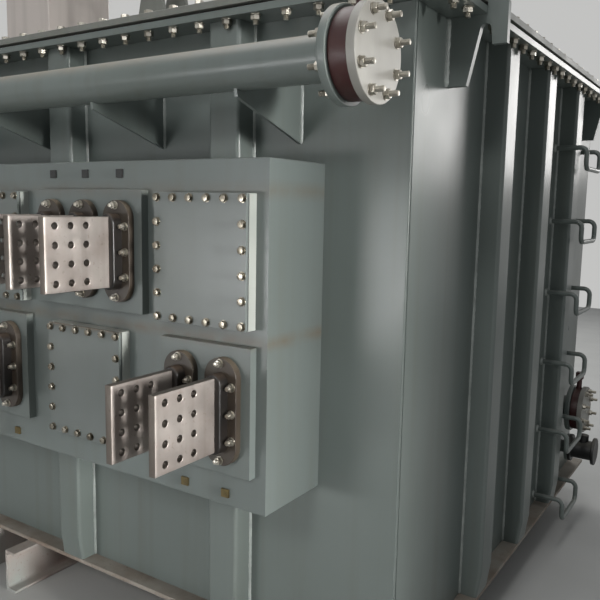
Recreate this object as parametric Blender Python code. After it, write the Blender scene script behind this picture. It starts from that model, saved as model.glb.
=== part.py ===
# Oil-filled power transformer: ribbed tank, bolted cover and a low-voltage terminal box.
# Metres, +Z up. The long front wall faces -Y, the tank stands on the floor at Z = 0.
import math

import bmesh
import bpy
from mathutils import Matrix, Vector

# General
seat_gap = 0.0003
weld_depth = 0.004
cut_overrun = 0.01

# Tank walls and their hollow pressed ribs
wall_height = 1.8165
wall_thickness = 0.010
base_plate_thickness = 0.015
base_plate_overhang = 0.06
rib_width = 0.112
rib_depth = 0.073
rib_bend = 0.012
rib_mitre_height = 0.090
front_rib_margin = 0.5555
end_rib_margin = 0.582
front_rib_count = 4
end_rib_count = 3
tank_width = 2.11
tank_end_margin = 0.255

# Base channels, in pairs with their webs back to back
channel_height = 0.160
channel_width = 0.056
channel_web = 0.009
channel_flange = 0.010
channel_web_gap = 0.190
channel_end_margin = 0.590
channel_pair_count = 3
channel_overhang = 0.10

# Rim flange, gasket and cover
rim_overhang = 0.108
rim_inside = 0.020
rim_thickness = 0.020
gasket_inset = 0.014
gasket_width = 0.050
gasket_thickness = 0.008
cover_thickness = 0.020

# Bushings and their flag terminals
flag_thickness = 0.022
flag_root = 0.078
flag_hole_diameter = 0.018
flag_hole_pitch = 0.050
flag_tip_edge = 0.0335
flag_side_edge = 0.0235
flag_rows = 4
flag_columns = 3
insulator_side_wall = 0.015
insulator_end_wall = 0.0085
insulator_length = 0.033
insulator_seat_depth = 0.012
bushing_flange_side = 0.027
bushing_flange_end = 0.037
bushing_flange_thickness = 0.020
bushing_gap = 0.039

# Low-voltage terminal box: bays of hatches and bushing plates in two rows
box_drop = 0.3945
box_depth = 0.260
box_plate = 0.010
box_end_margin = 0.058
box_top_margin = 0.080
box_bottom_margin = 0.0985
row_gap = 0.0495
bay_count = 3
upper_bushing_count = 3
lower_bushing_count = 2
pad_thickness = 0.028
hatch_width = 0.312
hatch_height = 0.346
hatch_thickness = 0.014
hatch_drop = 0.0065
plate_margin = 0.030
bushing_plate_thickness = 0.025
upper_edge_gap = 0.038
upper_plate_gap = 0.064
upper_bay_gap = 0.034
lower_edge_gap = 0.034
lower_plate_gap = 0.148
lower_bay_gap = 0.099

# Header pipe along the top of the front wall
pipe_diameter = 0.108
pipe_wall = 0.004
pipe_standoff = 0.270
pipe_drop = 0.1795
pipe_end_setback = 0.033
pipe_flange_rim = 0.056
pipe_flange_thickness = 0.022
valve_ring_rim = 0.046
valve_ring_width = 0.050
valve_stem_diameter = 0.024
valve_stem_length = 0.050
valve_square = 0.034
valve_square_height = 0.030
pipe_bracket_margin = 0.307
pipe_bracket_count = 6
pipe_bracket_thickness = 0.010
pipe_bracket_height = 0.090
pipe_bracket_toe = 0.016

# Lifting hooks on the end walls
hook_inset = 0.216
hook_thickness = 0.020
hook_leg_length = 0.1815
hook_foot_reach = 0.058
hook_throat_inset = 0.018
hook_throat_width = 0.031
hook_throat_drop = 0.0245
hook_tooth_width = 0.043
hook_tooth_drop = 0.0795
hook_rise = 0.0385
hook_corner = 0.018

# Step irons on the right end wall, over its last rib
rung_first_height = 0.220
rung_top_clearance = 0.1165
rung_pitch = 0.304
rung_rod_diameter = 0.020
rung_clearance = 0.045
rung_side_clearance = 0.075
rung_drop = 0.085
rung_offset = 0.035
rung_bend = 0.026

# Bottom valve and drain valve on the right end wall
valve_margin = 0.250
bottom_stub_length = 0.062
bottom_ring_width = 0.034
drain_height = 0.330
drain_pipe_diameter = 0.060
drain_flange_rim = 0.035
drain_flange_thickness = 0.014
drain_body_rim = 0.016
drain_body_length = 0.120
drain_neck_diameter = 0.050
drain_neck_length = 0.028
drain_stub_length = 0.055
drain_gap = 0.016

# Pieces on the cover
cover_box_width = 0.260
cover_box_depth = 0.300
cover_box_height = 0.340
cover_box_place = -0.058
cover_box_setback = 0.120
cover_box_rim = 0.014
cover_box_rim_height = 0.030
leg_span = 0.160
leg_height = 0.220
leg_top_width = 0.060
leg_thickness = 0.012
leg_place = 0.590
leg_setback = 0.140
leg_depth = 0.120

# Sizes of a bushing, from its flag terminal outwards
flag_height = (flag_rows - 1) * flag_hole_pitch + 2 * flag_side_edge
flag_length = flag_tip_edge + (flag_columns - 1) * flag_hole_pitch + flag_root
insulator_height = flag_height + 2 * insulator_end_wall
insulator_width = flag_thickness + 2 * insulator_side_wall
bushing_flange_height = insulator_height + 2 * bushing_flange_end
bushing_flange_width = insulator_width + 2 * bushing_flange_side
bushing_pitch = bushing_flange_width + bushing_gap

# Sizes of the terminal box, from its bushing plates and hatches
bushing_plate_height = bushing_flange_height + 2 * plate_margin
upper_plate_width = (upper_bushing_count - 1) * bushing_pitch + bushing_flange_width + 2 * plate_margin
lower_plate_width = (lower_bushing_count - 1) * bushing_pitch + bushing_flange_width + 2 * plate_margin
row_height = max(hatch_height, bushing_plate_height)
upper_run = upper_edge_gap + hatch_width + upper_plate_gap + upper_plate_width + upper_bay_gap
lower_run = lower_edge_gap + lower_plate_width + lower_plate_gap + hatch_width + lower_bay_gap
bay_pitch = max(upper_run, lower_run)
box_length = bay_count * bay_pitch + box_end_margin
box_height = box_top_margin + 2 * row_height + row_gap + box_bottom_margin

# Places in the whole
tank_length = box_length + 2 * tank_end_margin
half_length = tank_length / 2
half_width = tank_width / 2
front_face = -half_width
base_top = channel_height + base_plate_thickness
wall_bottom = base_top + seat_gap
rim_bottom = base_top + wall_height
wall_top = rim_bottom - seat_gap
rim_top = rim_bottom + rim_thickness
gasket_top = rim_top + seat_gap + gasket_thickness
cover_bottom = gasket_top + seat_gap
cover_top = cover_bottom + cover_thickness
box_top = rim_bottom - box_drop
box_bottom = box_top - box_height
box_face = front_face - box_depth
box_right = box_length / 2
upper_row_height = box_top - box_top_margin - row_height / 2
lower_row_height = box_bottom + box_bottom_margin + row_height / 2
pipe_height = rim_bottom - pipe_drop
pipe_end = half_length - pipe_end_setback
pipe_flange_diameter = pipe_diameter + 2 * pipe_flange_rim
valve_ring_diameter = pipe_diameter + 2 * valve_ring_rim
drain_flange_diameter = drain_pipe_diameter + 2 * drain_flange_rim
drain_body_diameter = drain_pipe_diameter + 2 * drain_body_rim
valve_centre = half_width - valve_margin
drain_top = drain_height + drain_body_diameter / 2 + drain_neck_length
bottom_valve_height = drain_top + drain_gap + pipe_flange_diameter / 2


def clear_scene():
    for old in list(bpy.data.objects):
        bpy.data.objects.remove(old, do_unlink=True)


def paint(name, colour, roughness, metallic=0.0):
    material = bpy.data.materials.new(name)
    material.use_nodes = True
    shader = material.node_tree.nodes["Principled BSDF"]
    shader.inputs["Base Color"].default_value = (*colour, 1.0)
    shader.inputs["Roughness"].default_value = roughness
    shader.inputs["Metallic"].default_value = metallic
    return material


def new_object(name, mesh, material=None):
    made = bpy.data.objects.new(name, mesh)
    bpy.context.scene.collection.objects.link(made)
    if material is not None and not mesh.materials:
        mesh.materials.append(material)
    return made


def mesh_from(name, bm):
    bmesh.ops.recalc_face_normals(bm, faces=bm.faces)
    mesh = bpy.data.meshes.new(name)
    bm.to_mesh(mesh)
    bm.free()
    return mesh


def add_box(bm, low, high):
    size = [b - a for a, b in zip(low, high)]
    centre = [(a + b) / 2 for a, b in zip(low, high)]
    place = Matrix.Translation(centre) @ Matrix.Diagonal((*size, 1.0))
    bmesh.ops.create_cube(bm, size=1.0, matrix=place)


def block(name, low, high, material=None):
    bm = bmesh.new()
    add_box(bm, low, high)
    return new_object(name, mesh_from(name, bm), material)


def add_prism(bm, outline, direction):
    """A closed outline of 3D points, carried along a direction."""
    face = bm.faces.new([bm.verts.new(point) for point in outline])
    swept = bmesh.ops.extrude_face_region(bm, geom=[face])
    moved = [item for item in swept["geom"] if isinstance(item, bmesh.types.BMVert)]
    bmesh.ops.translate(bm, verts=moved, vec=direction)


def prism(name, outline, direction, material=None):
    bm = bmesh.new()
    add_prism(bm, outline, direction)
    return new_object(name, mesh_from(name, bm), material)


def add_rod(bm, start, end, diameter, segments):
    axis = Vector(end) - Vector(start)
    turn = axis.to_track_quat("Z", "Y").to_matrix().to_4x4()
    place = Matrix.Translation((Vector(start) + Vector(end)) / 2) @ turn
    bmesh.ops.create_cone(
        bm, cap_ends=True, segments=segments, radius1=diameter / 2, radius2=diameter / 2,
        depth=axis.length, matrix=place,
    )


def rod(name, start, end, diameter, segments, material=None):
    bm = bmesh.new()
    add_rod(bm, start, end, diameter, segments)
    return new_object(name, mesh_from(name, bm), material)


def combine(target, tools, operation):
    """Fuses or cuts the target with tools that lie apart, bakes the result and removes the tools."""
    bm = bmesh.new()
    for tool in tools:
        bm.from_mesh(tool.data)
        bpy.data.objects.remove(tool, do_unlink=True)
    bmesh.ops.triangulate(bm, faces=bm.faces)
    joined = new_object("tools", mesh_from("tools", bm))
    step = target.modifiers.new(operation, "BOOLEAN")
    step.operation = operation
    step.object = joined
    step.solver = "EXACT"
    graph = bpy.context.evaluated_depsgraph_get()
    baked = bpy.data.meshes.new_from_object(target.evaluated_get(graph))
    target.modifiers.clear()
    target.data = baked
    bpy.data.objects.remove(joined, do_unlink=True)
    return target


def soften(target):
    """Smooth shading on the round faces, with the corners kept sharp."""
    for polygon in target.data.polygons:
        polygon.use_smooth = True
    target.data.set_sharp_from_angle(angle=math.radians(35))
    return target


def spread(count, pitch):
    """Places either side of zero, a pitch apart."""
    return [(i - (count - 1) / 2) * pitch for i in range(count)]


def spread_along(length, margin, count):
    """Places either side of zero, the outer two a margin inside the length's ends."""
    return spread(count, (length - 2 * margin) / (count - 1))


def obround(width, height, arc_steps):
    """A stadium outline in X and Z, round at its top and bottom."""
    radius = width / 2
    straight = height / 2 - radius
    points = []
    for centre, first in ((straight, 0.0), (-straight, math.pi)):
        for i in range(arc_steps + 1):
            angle = first + math.pi * i / arc_steps
            points.append((radius * math.cos(angle), centre + radius * math.sin(angle)))
    return points


def rib(centre, along, outward, face, bottom, top, mitred):
    """A box rib pressed from plate, with bent edges. Its foot tapers back to the edge of the base plate."""
    half = rib_width / 2
    flat = half - rib_bend
    depths = [(-half, 0.0), (-half, 1.0), (-flat, 1.0), (flat, 1.0), (half, 1.0), (half, 0.0)]
    rings = []
    levels = [(bottom, rib_depth), (top, rib_depth)]
    if mitred:
        levels = [(bottom, base_plate_overhang), (bottom + rib_mitre_height, rib_depth), levels[-1]]
    for z, depth in levels:
        ring = []
        for i, (across, out) in enumerate(depths):
            bent = depth - rib_bend if i in (1, 4) else depth
            reach = bent if out else -weld_depth
            spot = Vector(face) + Vector(along) * (centre + across) + Vector(outward) * reach
            ring.append(spot + Vector((0, 0, z)))
        rings.append(ring)
    bm = bmesh.new()
    rows = [[bm.verts.new(point) for point in ring] for ring in rings]
    for low, high in zip(rows, rows[1:]):
        for i in range(len(low)):
            bm.faces.new((low[i - 1], low[i], high[i], high[i - 1]))
    bm.faces.new(rows[0])
    bm.faces.new(rows[-1])
    return new_object("rib", mesh_from("rib", bm))


# Materials
clear_scene()
tank_paint = paint("tank_paint", (0.33, 0.39, 0.38), 0.35)
cover_paint = paint("cover_paint", (0.24, 0.29, 0.27), 0.45)
rubber_dark = paint("gasket_rubber", (0.03, 0.03, 0.03), 0.90)
tinned_copper = paint("tinned_copper", (0.62, 0.58, 0.54), 0.35, 1.0)
valve_red = paint("valve_red", (0.09, 0.02, 0.02), 0.50)
flange_grey = paint("flange_grey", (0.50, 0.51, 0.47), 0.40)
cast_black = paint("cast_black", (0.03, 0.03, 0.03), 0.60)
panel_paint = paint("panel_paint", (0.60, 0.56, 0.54), 0.50)


# Base plate on its channels
def channel(name, centre, side):
    """A rolled channel along Y. Its flanges point to the given side."""
    web = centre + side * channel_web_gap / 2
    steps = [
        (0.0, 0.0), (channel_width, 0.0), (channel_width, channel_flange),
        (channel_web, channel_flange), (channel_web, channel_height - channel_flange),
        (channel_width, channel_height - channel_flange),
        (channel_width, channel_height), (0.0, channel_height),
    ]
    start = front_face - base_plate_overhang - channel_overhang
    outline = [(web + side * x, start, z) for x, z in steps]
    return prism(name, outline, (0.0, -2 * start, 0.0))


plate_x = half_length + base_plate_overhang
plate_y = half_width + base_plate_overhang
base = block(
    "tank_base", (-plate_x, -plate_y, channel_height - seat_gap), (plate_x, plate_y, base_top),
    tank_paint,
)
channels = []
for centre in spread_along(tank_length, channel_end_margin, channel_pair_count):
    for side in (-1, 1):
        channels.append(channel("channel", centre, side))
combine(base, channels, "UNION")


# Walls
front_wall = block(
    "wall_front", (-half_length, front_face, wall_bottom),
    (half_length, front_face + wall_thickness, wall_top), tank_paint,
)
ribs = []
for centre in spread_along(tank_length, front_rib_margin, front_rib_count):
    place = ((1, 0, 0), (0, -1, 0), (0, front_face, 0))
    ribs.append(rib(centre, *place, box_top + seat_gap, wall_top, False))
    ribs.append(rib(centre, *place, wall_bottom, box_bottom - seat_gap, True))


def pipe_bracket(centre):
    """A triangular gusset from the wall to a saddle under the header pipe."""
    axis = front_face - pipe_standoff
    steps = 6
    turn = math.radians(110)
    saddle = (pipe_diameter / 2 + seat_gap) / math.cos(turn / steps / 2)
    low = pipe_height - saddle - pipe_bracket_toe
    points = [(front_face + weld_depth, pipe_height), (front_face + weld_depth, low - pipe_bracket_height)]
    points.append((axis - pipe_bracket_toe, low))
    for i in range(steps + 1):
        angle = -turn + turn * i / steps
        points.append((axis + saddle * math.cos(angle), pipe_height + saddle * math.sin(angle)))
    outline = [(centre - pipe_bracket_thickness / 2, y, z) for y, z in points]
    return prism("bracket", outline, (pipe_bracket_thickness, 0.0, 0.0))


bracket_places = spread_along(2 * pipe_end, pipe_bracket_margin, pipe_bracket_count)
brackets = [pipe_bracket(x) for x in bracket_places]
combine(front_wall, ribs + brackets, "UNION")

back_wall = block(
    "wall_back", (-half_length, half_width - wall_thickness, wall_bottom),
    (half_length, half_width, wall_top), tank_paint,
)
ribs = []
for centre in spread_along(tank_length, front_rib_margin, front_rib_count):
    place = ((1, 0, 0), (0, 1, 0), (0, half_width, 0))
    ribs.append(rib(centre, *place, wall_bottom, wall_top, True))
combine(back_wall, ribs, "UNION")


def hook(place, side):
    """A lifting hook cut from plate: a leg, a throat open below and a tooth."""
    radius = hook_throat_width / 2
    throat_in = rim_overhang - hook_throat_inset
    throat_out = throat_in + hook_throat_width
    tooth_out = throat_out + hook_tooth_width
    arc_height = rim_bottom - hook_throat_drop - radius
    foot = rim_bottom - hook_leg_length
    tooth = rim_bottom - hook_tooth_drop
    top = rim_bottom + hook_rise
    points = [(-weld_depth, foot), (hook_foot_reach, foot)]
    for i in range(7):
        angle = math.pi - math.pi * i / 6
        points.append((throat_in + radius + radius * math.cos(angle), arc_height + radius * math.sin(angle)))
    points += [(throat_out + radius / 4, tooth), (tooth_out, tooth)]
    points += [(tooth_out, top - hook_corner), (tooth_out - hook_corner, top)]
    rim_edge = rim_overhang + seat_gap
    points += [(rim_edge, top), (rim_edge, wall_top), (-weld_depth, wall_top)]
    start = place - hook_thickness / 2
    outline = [(side * (half_length + x), start, z) for x, z in points]
    return prism("hook", outline, (0.0, hook_thickness, 0.0))


def rung(height, rib_place):
    """A round bar bent out of the wall, down and across as a step that clears the rib behind it."""
    near = rib_place + rung_offset - rib_width / 2 - rung_side_clearance
    far = near + rib_width + 2 * rung_side_clearance
    root = half_length - weld_depth
    out = half_length + rib_depth + rung_clearance + rung_rod_diameter / 2
    corners = [
        (root, near, height), (out, near, height), (out, near, height - rung_drop),
        (out, far, height - rung_drop), (out, far, height), (root, far, height),
    ]
    corners = [Vector(c) for c in corners]
    path = [corners[0]]
    for before, corner, after in zip(corners, corners[1:], corners[2:]):
        into = (corner - before).normalized() * rung_bend
        away = (after - corner).normalized() * rung_bend
        path += [corner - into, corner - (into - away) * (1 - math.sqrt(0.5)), corner + away]
    path.append(corners[-1])
    line = bpy.data.curves.new("rung", "CURVE")
    line.dimensions = "3D"
    line.bevel_depth = rung_rod_diameter / 2
    line.bevel_resolution = 2
    line.use_fill_caps = True
    spline = line.splines.new("POLY")
    spline.points.add(len(path) - 1)
    for point, spot in zip(spline.points, path):
        point.co = spot.to_4d()
    holder = new_object("rung_line", line)
    graph = bpy.context.evaluated_depsgraph_get()
    mesh = bpy.data.meshes.new_from_object(holder.evaluated_get(graph))
    bpy.data.objects.remove(holder, do_unlink=True)
    bm = bmesh.new()
    bm.from_mesh(mesh)
    bmesh.ops.remove_doubles(bm, verts=bm.verts, dist=seat_gap / 10)
    return new_object("rung", mesh_from("rung", bm))


def lathe(name, centre, profile, material=None, segments=24):
    """A round piece about an axis along X. The profile lists places on the axis and diameters there."""
    bm = bmesh.new()
    rings = []
    for x, diameter in profile:
        ring = []
        for i in range(segments):
            angle = 2 * math.pi * i / segments
            y = centre[0] + diameter / 2 * math.cos(angle)
            ring.append(bm.verts.new((x, y, centre[1] + diameter / 2 * math.sin(angle))))
        rings.append(ring)
    for low, high in zip(rings, rings[1:]):
        for i in range(segments):
            bm.faces.new((low[i - 1], low[i], high[i], high[i - 1]))
    bm.faces.new(rings[0])
    bm.faces.new(rings[-1])
    return new_object(name, mesh_from(name, bm), material)


def round_plate(name, centre, start, end, diameter, material=None, segments=24):
    """A disc or drum with its axis along X."""
    return lathe(name, centre, [(start, diameter), (end, diameter)], material, segments)


def flanged_stub(name, centre, root, face, diameter, flange_diameter, flange_thickness, segments):
    """A pipe stub that ends in a flange."""
    neck = face - flange_thickness
    profile = [(root, diameter), (neck, diameter), (neck, flange_diameter), (face, flange_diameter)]
    return lathe(name, centre, profile, None, segments)


def end_wall(name, side):
    inside = half_width - wall_thickness - seat_gap
    outer = side * half_length
    inner = side * (half_length - wall_thickness)
    wall = block(
        name, (min(outer, inner), -inside, wall_bottom), (max(outer, inner), inside, wall_top),
        tank_paint,
    )
    added = []
    for centre in spread_along(tank_width, end_rib_margin, end_rib_count):
        place = ((0, 1, 0), (side, 0, 0), (outer, 0, 0))
        added.append(rib(centre, *place, wall_bottom, wall_top, True))
    for place in (front_face + hook_inset, -front_face - hook_inset):
        added.append(hook(place, side))
    return wall, added


right_wall, added = end_wall("wall_end_right", 1)
last_rib = spread_along(tank_width, end_rib_margin, end_rib_count)[-1]
rung_room = wall_top - rung_top_clearance - rung_first_height
for i in range(int(rung_room / rung_pitch) + 1):
    added.append(rung(rung_first_height + i * rung_pitch, last_rib))
valve_spot = (valve_centre, bottom_valve_height)
stub_end = half_length + bottom_stub_length
root = half_length - weld_depth
added.append(flanged_stub(
    "stub", valve_spot, root, stub_end, pipe_diameter, pipe_flange_diameter, pipe_flange_thickness, 24,
))
drain_spot = (valve_centre, drain_height)
drain_face = half_length + drain_stub_length
added.append(flanged_stub(
    "drain_stub", drain_spot, root, drain_face, drain_pipe_diameter, drain_flange_diameter,
    drain_flange_thickness, 16,
))
combine(right_wall, added, "UNION")
left_wall, added = end_wall("wall_end_left", -1)
combine(left_wall, added, "UNION")


# Rim flange, gasket and cover
def frame_ring(name, outer, inner, bottom, top, material):
    """A flat rectangular ring: outer and inner are half sizes in X and Y."""
    ring = block(name, (-outer[0], -outer[1], bottom), (outer[0], outer[1], top), material)
    low = bottom - cut_overrun
    high = top + cut_overrun
    hole = block("hole", (-inner[0], -inner[1], low), (inner[0], inner[1], high))
    return combine(ring, [hole], "DIFFERENCE")


rim_x = half_length + rim_overhang
rim_y = half_width + rim_overhang
inner_x = half_length - wall_thickness - rim_inside
inner_y = half_width - wall_thickness - rim_inside
frame_ring("rim_flange", (rim_x, rim_y), (inner_x, inner_y), rim_bottom, rim_top, tank_paint)
gasket_x = rim_x - gasket_inset
gasket_y = rim_y - gasket_inset
frame_ring(
    "cover_gasket", (gasket_x, gasket_y), (gasket_x - gasket_width, gasket_y - gasket_width),
    rim_top + seat_gap, gasket_top, rubber_dark,
)
cover = block("tank_cover", (-rim_x, -rim_y, cover_bottom), (rim_x, rim_y, cover_top), cover_paint)


def cover_leg(depth_place):
    """One A-shaped leg plate that stands on the cover."""
    low = cover_top - weld_depth
    high = cover_top + leg_height
    outline = [
        (leg_place - leg_span / 2, depth_place, low),
        (leg_place + leg_span / 2, depth_place, low),
        (leg_place + leg_top_width / 2, depth_place, high),
        (leg_place - leg_top_width / 2, depth_place, high),
    ]
    return prism("leg", outline, (0.0, leg_thickness, 0.0))


leg_y = front_face + leg_setback
combine(cover, [cover_leg(leg_y), cover_leg(leg_y + leg_depth)], "UNION")
leg_cap = block(
    "leg_cap", (leg_place - leg_top_width / 2, leg_y, cover_top + leg_height - leg_thickness),
    (leg_place + leg_top_width / 2, leg_y + leg_depth + leg_thickness, cover_top + leg_height),
)
combine(cover, [leg_cap], "UNION")

box_x = cover_box_place
box_y = front_face + cover_box_setback
cover_box = block(
    "cover_box", (box_x - cover_box_width / 2, box_y, cover_top + seat_gap),
    (box_x + cover_box_width / 2, box_y + cover_box_depth, cover_top + cover_box_height), panel_paint,
)
rim = block(
    "rim", (box_x - cover_box_width / 2 - cover_box_rim, box_y - cover_box_rim, cover_top + seat_gap),
    (box_x + cover_box_width / 2 + cover_box_rim, box_y + cover_box_depth + cover_box_rim,
     cover_top + cover_box_rim_height),
)
combine(cover_box, [rim], "UNION")


# Terminal box: a welded shell, open to the wall, with raised pads for its covers
box_back = front_face - seat_gap
shell = block("terminal_box", (-box_right, box_face, box_bottom), (box_right, box_back, box_top), tank_paint)
inside = block(
    "inside", (-box_right + box_plate, box_face + box_plate, box_bottom + box_plate),
    (box_right - box_plate, box_back + cut_overrun, box_top - box_plate),
)
combine(shell, [inside], "DIFFERENCE")
pads = []
hatch_places = []
plate_places = []
for bay in range(bay_count):
    right = box_right - bay * bay_pitch
    hatch_right = right - upper_edge_gap
    hatch_places.append(("upper", bay, hatch_right - hatch_width / 2, upper_row_height - hatch_drop))
    plate_right = hatch_right - hatch_width - upper_plate_gap
    plate_places.append(("upper", bay, plate_right - upper_plate_width / 2, upper_row_height))
    plate_right = right - lower_edge_gap
    plate_places.append(("lower", bay, plate_right - lower_plate_width / 2, lower_row_height))
    hatch_right = plate_right - lower_plate_width - lower_plate_gap
    hatch_places.append(("lower", bay, hatch_right - hatch_width / 2, lower_row_height - hatch_drop))
pad_face = box_face - pad_thickness
wide = hatch_width / 2
high = hatch_height / 2
for row, bay, x, z in hatch_places:
    pads.append(block("pad", (x - wide, pad_face, z - high), (x + wide, box_face + weld_depth, z + high)))
combine(shell, pads, "UNION")
for row, bay, x, z in hatch_places:
    block(
        "hatch_%s_%d" % (row, bay + 1), (x - wide, pad_face - seat_gap - hatch_thickness, z - high),
        (x + wide, pad_face - seat_gap, z + high), tank_paint,
    )

# Bushing plates with their flanges, and the flag terminals
plate_back = box_face - seat_gap
plate_face = plate_back - bushing_plate_thickness
flange_face = plate_face - bushing_flange_thickness


def lay_obround(name, centre_x, centre_z, width, height, back, face, arc_steps):
    outline = [(centre_x + x, back, centre_z + z) for x, z in obround(width, height, arc_steps)]
    return prism(name, outline, (0.0, face - back, 0.0))


def bushing_plate(name, x, z, width, bushings):
    wide = width / 2
    high = bushing_plate_height / 2
    plate = block(name, (x - wide, plate_face, z - high), (x + wide, plate_back, z + high), tank_paint)
    flanges = []
    seats = []
    for spot in bushings:
        flanges.append(lay_obround(
            "flange", spot, z, bushing_flange_width, bushing_flange_height,
            plate_face + weld_depth, flange_face, 8,
        ))
        seats.append(lay_obround(
            "seat", spot, z, insulator_width + 2 * seat_gap, insulator_height + 2 * seat_gap,
            flange_face + insulator_seat_depth, flange_face - cut_overrun, 8,
        ))
    combine(plate, flanges, "UNION")
    combine(plate, seats, "DIFFERENCE")
    return plate


def flag_mesh():
    """A flag terminal cast into its insulator, drawn about the centre of the flange face."""
    seat = insulator_seat_depth - seat_gap
    bar = block(
        "flag", (-flag_thickness / 2, -insulator_length - flag_length, -flag_height / 2),
        (flag_thickness / 2, -insulator_length + cut_overrun, flag_height / 2), tinned_copper,
    )
    collar = lay_obround("collar", 0.0, 0.0, insulator_width, insulator_height, seat, -insulator_length, 8)
    combine(bar, [collar], "UNION")
    drills = []
    for row in spread(flag_rows, flag_hole_pitch):
        for column in range(flag_columns):
            y = -insulator_length - flag_length + flag_tip_edge + column * flag_hole_pitch
            reach = flag_thickness / 2 + cut_overrun
            drills.append(rod("drill", (-reach, y, row), (reach, y, row), flag_hole_diameter, 8))
    combine(bar, drills, "DIFFERENCE")
    mesh = bar.data
    bpy.data.objects.remove(bar, do_unlink=True)
    return mesh


flag = flag_mesh()
bushings_of = {
    "upper": (upper_bushing_count, upper_plate_width),
    "lower": (lower_bushing_count, lower_plate_width),
}
for row, bay, x, z in plate_places:
    count, width = bushings_of[row]
    spots = [x - offset for offset in spread(count, bushing_pitch)]
    bushing_plate("bushing_plate_%s_%d" % (row, bay + 1), x, z, width, spots)
    for i, spot in enumerate(spots):
        terminal = new_object("terminal_%s_%d_%d" % (row, bay + 1, i + 1), flag, tinned_copper)
        terminal.location = (spot, flange_face, z)

# Header pipe with a butterfly valve and a blind flange at each end
pipe_axis = (front_face - pipe_standoff, pipe_height)
neck = pipe_end - pipe_flange_thickness
pipe = lathe("header_pipe", pipe_axis, [
    (-pipe_end, pipe_flange_diameter), (-neck, pipe_flange_diameter), (-neck, pipe_diameter),
    (neck, pipe_diameter), (neck, pipe_flange_diameter), (pipe_end, pipe_flange_diameter),
], flange_grey)
bore = round_plate(
    "bore", pipe_axis, -pipe_end - cut_overrun, pipe_end + cut_overrun, pipe_diameter - 2 * pipe_wall,
)
combine(pipe, [bore], "DIFFERENCE")
soften(pipe)


def valve_ring(name, spot, start, width, side):
    """The wafer body of a butterfly valve, with its stem on top."""
    low = side * start
    high = side * (start + width)
    body = round_plate(name, spot, min(low, high), max(low, high), valve_ring_diameter, valve_red)
    x = (low + high) / 2
    top = spot[1] + valve_ring_diameter / 2
    low_end = (x, spot[0], top - weld_depth)
    high_end = (x, spot[0], top + valve_stem_length)
    stem = rod("stem", low_end, high_end, valve_stem_diameter, 12)
    half = valve_square / 2
    cap = block(
        "cap", (x - min(half, width / 2), spot[0] - half, top + valve_stem_length - weld_depth),
        (x + min(half, width / 2), spot[0] + half, top + valve_stem_length + valve_square_height),
    )
    combine(body, [stem], "UNION")
    return soften(combine(body, [cap], "UNION"))


for label, side in (("right", 1), ("left", -1)):
    start = pipe_end + seat_gap
    valve_ring("header_valve_" + label, pipe_axis, start, valve_ring_width, side)
    start += valve_ring_width + seat_gap
    end = start + pipe_flange_thickness
    soften(round_plate(
        "header_blind_" + label, pipe_axis, side * start, side * end, pipe_flange_diameter, flange_grey,
    ))

# Bottom valve and drain valve
start = stub_end + seat_gap
valve_ring("bottom_valve", valve_spot, start, bottom_ring_width, 1)
start += bottom_ring_width + seat_gap
soften(round_plate(
    "bottom_blind", valve_spot, start, start + pipe_flange_thickness, pipe_flange_diameter, flange_grey,
))
start = drain_face + seat_gap
drain_end = start + drain_body_length
rim = drain_flange_thickness
drain = lathe("drain_valve", drain_spot, [
    (start, drain_flange_diameter), (start + rim, drain_flange_diameter), (start + rim, drain_body_diameter),
    (drain_end - rim, drain_body_diameter), (drain_end - rim, drain_flange_diameter),
    (drain_end, drain_flange_diameter),
], cast_black, 16)
middle = (start + drain_end) / 2
neck_low = (middle, drain_spot[0], drain_spot[1])
neck_high = (middle, drain_spot[0], drain_spot[1] + drain_body_diameter / 2 + drain_neck_length)
neck = rod("neck", neck_low, neck_high, drain_neck_diameter, 12)
soften(combine(drain, [neck], "UNION"))

# The frame's origin is at floor level, in the middle of the whole transformer seen from above
terminal_reach = bushing_plate_thickness + bushing_flange_thickness + insulator_length + flag_length
front_reach = half_width + box_depth + seat_gap + terminal_reach
back_reach = half_width + base_plate_overhang + channel_overhang
left_reach = half_length + rim_overhang - hook_throat_inset + hook_throat_width + hook_tooth_width
right_reach = max(left_reach, drain_end)
to_middle = Vector(((left_reach - right_reach) / 2, (front_reach - back_reach) / 2, 0.0))
for piece in bpy.data.objects:
    piece.location += to_middle
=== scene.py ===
import math

import bpy
import numpy as np
from mathutils import Matrix, Vector
from mathutils.geometry import tessellate_polygon


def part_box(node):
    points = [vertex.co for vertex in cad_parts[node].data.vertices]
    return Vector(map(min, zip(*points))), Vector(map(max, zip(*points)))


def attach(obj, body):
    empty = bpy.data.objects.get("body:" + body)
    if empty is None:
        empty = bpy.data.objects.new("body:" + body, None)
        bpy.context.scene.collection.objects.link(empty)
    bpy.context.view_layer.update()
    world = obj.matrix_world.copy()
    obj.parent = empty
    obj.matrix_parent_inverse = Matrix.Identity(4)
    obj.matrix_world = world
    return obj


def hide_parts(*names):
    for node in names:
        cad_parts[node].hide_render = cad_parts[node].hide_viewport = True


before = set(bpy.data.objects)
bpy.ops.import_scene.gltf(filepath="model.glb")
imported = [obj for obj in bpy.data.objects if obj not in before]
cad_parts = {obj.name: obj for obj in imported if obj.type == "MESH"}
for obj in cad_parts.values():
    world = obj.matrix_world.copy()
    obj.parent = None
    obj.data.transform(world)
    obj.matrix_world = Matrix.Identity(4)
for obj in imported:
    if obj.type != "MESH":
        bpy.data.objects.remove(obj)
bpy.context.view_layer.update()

# The tank's middle seen from above. Everything below is measured from it.
baseLow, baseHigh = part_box("tank_base")
middle = np.array([(baseLow.x + baseHigh.x) / 2, (baseLow.y + baseHigh.y) / 2, 0.0])
print("frame loaded")


# Shapes are (points, quads, triangles), worked out as whole arrays.

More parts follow.
